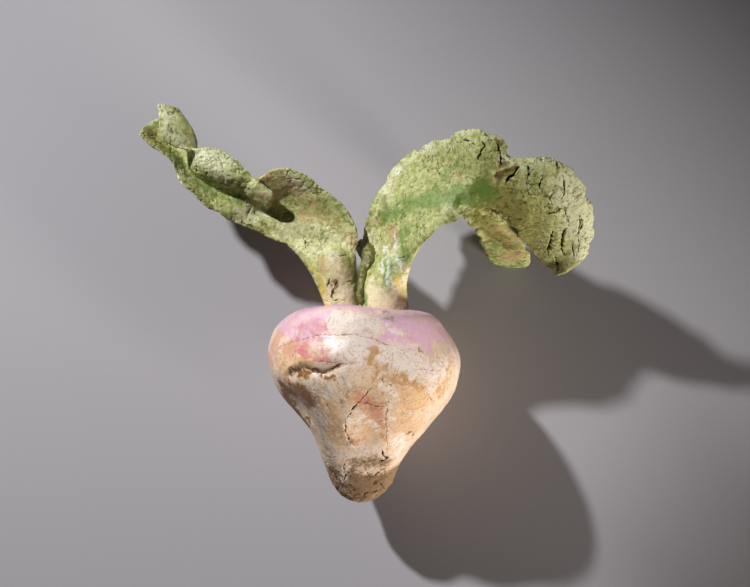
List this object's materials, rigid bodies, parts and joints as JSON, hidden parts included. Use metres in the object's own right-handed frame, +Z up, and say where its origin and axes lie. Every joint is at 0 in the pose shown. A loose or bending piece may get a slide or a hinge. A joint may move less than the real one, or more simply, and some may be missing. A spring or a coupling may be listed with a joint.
{
  "type": "ceramic turnip",
  "caption": "Life-size glazed ceramic turnip lying on its side: a stubby root with a mauve crown and two curling, crackled green leaves.",
  "frame": {"origin": "centre of the small flat spot under the root's belly, on the surface that the turnip lies on", "axes": "+Z up from the surface; +Y from the root's tip towards the leaves; +X to the right seen from above with the leaves at the top"},
  "size_m": [0.2282, 0.2014, 0.1029],
  "materials": {
    "root_glaze": "glossy cream and mauve glaze with ochre and brown stains over hand-pressed clay",
    "leaf_glaze": "pale yellow-green glaze, crawled and crackled to dark clay in its cracks"
  },
  "bodies": {
    "root": {"root": "root_glaze", "left_leaf": "leaf_glaze", "right_leaf": "leaf_glaze"}
  },
  "joints": []
}
